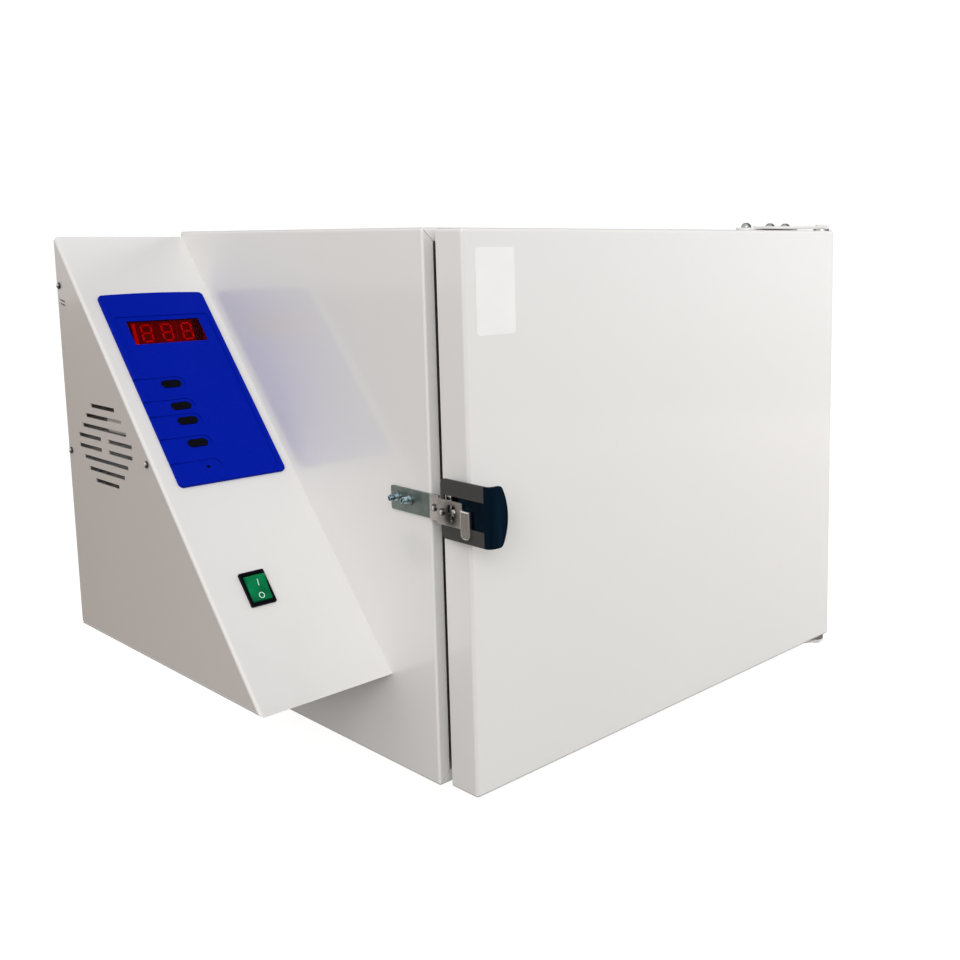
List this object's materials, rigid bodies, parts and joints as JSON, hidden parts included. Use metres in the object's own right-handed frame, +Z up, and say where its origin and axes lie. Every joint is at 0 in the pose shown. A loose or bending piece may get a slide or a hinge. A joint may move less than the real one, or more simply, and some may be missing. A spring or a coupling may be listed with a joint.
{
  "type": "drying oven",
  "caption": "Small bench drying oven: steel cabinet with a side-hinged latched door, a heated stainless chamber with wire shelves, and a wedge-shaped control box on its left.",
  "frame": {"origin": "bottom centre of the whole oven's outline, at the level of its feet", "axes": "+Z up, the door faces -Y, the control box is at -X"},
  "size_m": [0.4438, 0.348, 0.3355],
  "materials": {
    "white_paint": "gloss",
    "stainless": "brushed",
    "zinc": "satin",
    "screw_steel": "satin",
    "black_metal": "gloss",
    "black_plastic": "satin",
    "blue_plastic": "satin",
    "green_plastic": "gloss",
    "red_filter": "gloss",
    "grey_plastic": "matte",
    "rubber_black": "matte",
    "silicone": "matte",
    "mineral_wool": "matte",
    "heater_sheath": "satin",
    "circuit_board": "satin",
    "winding": "satin",
    "brass": "satin"
  },
  "bodies": {
    "cabinet": {"casing": "white_paint", "back_panel": "white_paint", "back_screws": "screw_steel", "feet": "rubber_black", "foot_screws": "screw_steel", "chamber_liner": "stainless", "chamber_insulation": "mineral_wool", "heater_element": "heater_sheath", "heater_bushings": "brass", "heater_baffle": "stainless", "shelf_runners": "stainless", "shelf_lower": "screw_steel", "shelf_upper": "screw_steel", "temperature_probe": "screw_steel", "thermal_cutout": "grey_plastic", "vent_pipe": "stainless", "hinge_plate_upper": "white_paint", "hinge_plate_lower": "white_paint", "hinge_pins": "screw_steel", "hinge_screws": "screw_steel", "keeper_strap": "zinc", "keeper_studs": "zinc", "keeper_rings": "screw_steel", "control_cover": "white_paint", "control_side_panel": "white_paint", "control_side_screws": "screw_steel", "control_frame": "zinc", "control_back": "white_paint", "cable_gland": "black_plastic", "cable_gland_nut": "black_plastic", "power_chassis": "zinc", "transformer_core": "heater_sheath", "transformer_coil": "winding", "solid_state_relay": "grey_plastic", "terminal_strip": "grey_plastic", "fascia_panel": "blue_plastic", "display_window": "red_filter", "display_module": "black_plastic", "control_board": "circuit_board", "board_standoffs": "blue_plastic", "board_keys": "black_plastic", "indicator_led": "red_filter", "switch_body": "black_plastic"},
    "door": {"door_shell": "white_paint", "door_inner_panel": "stainless", "door_inner_screws": "screw_steel", "door_insulation": "mineral_wool", "door_seal": "silicone", "door_bushes": "brass", "latch_bracket": "zinc", "latch_bracket_screws": "screw_steel", "latch_pin": "screw_steel"},
    "keeper": {"keeper_plate": "stainless", "keeper_rivets": "screw_steel"},
    "handle": {"latch_handle": "black_metal"},
    "rocker": {"switch_rocker": "green_plastic"},
    "button_1": {"button_1": "black_plastic"},
    "button_2": {"button_2": "black_plastic"},
    "button_3": {"button_3": "black_plastic"},
    "button_4": {"button_4": "black_plastic"}
  },
  "joints": [
    {"name": "door_hinge", "type": "hinge", "parent": "cabinet", "child": "door", "pos_m": [0.2139, -0.143, 0.17], "axis": [0, 0, 1], "range_deg": [0, 230]},
    {"name": "handle_pivot", "type": "hinge", "parent": "door", "child": "handle", "pos_m": [-0.1372, -0.1375, 0.1765], "axis": [0, 0, -1], "range_deg": [0, 10]},
    {"name": "keeper_flex", "type": "hinge", "parent": "cabinet", "child": "keeper", "pos_m": [-0.1376, -0.1202, 0.1765], "axis": [0, 0, -1], "range_deg": [0, 6], "stiffness_Nm_per_rad": 0.5, "springref_deg": -1.15},
    {"name": "rocker_pivot", "type": "hinge", "parent": "cabinet", "child": "rocker", "pos_m": [-0.1921, -0.02386, 0.12161], "axis": [-1, 0, 0], "range_deg": [0, 20]},
    {"name": "button_1_press", "type": "slide", "parent": "cabinet", "child": "button_1", "axis": [0, 0.7443, -0.6678], "range_m": [0, 0.0005], "stiffness_N_per_m": 1500, "springref_m": -0.0002},
    {"name": "button_2_press", "type": "slide", "parent": "cabinet", "child": "button_2", "axis": [0, 0.7443, -0.6678], "range_m": [0, 0.0005], "stiffness_N_per_m": 1500, "springref_m": -0.0002},
    {"name": "button_3_press", "type": "slide", "parent": "cabinet", "child": "button_3", "axis": [0, 0.7443, -0.6678], "range_m": [0, 0.0005], "stiffness_N_per_m": 1500, "springref_m": -0.0002},
    {"name": "button_4_press", "type": "slide", "parent": "cabinet", "child": "button_4", "axis": [0, 0.7443, -0.6678], "range_m": [0, 0.0005], "stiffness_N_per_m": 1500, "springref_m": -0.0002}
  ],
  "couplings": [
    {"joint": "keeper_flex", "follows": "handle_pivot", "ratio": 0.59}
  ]
}
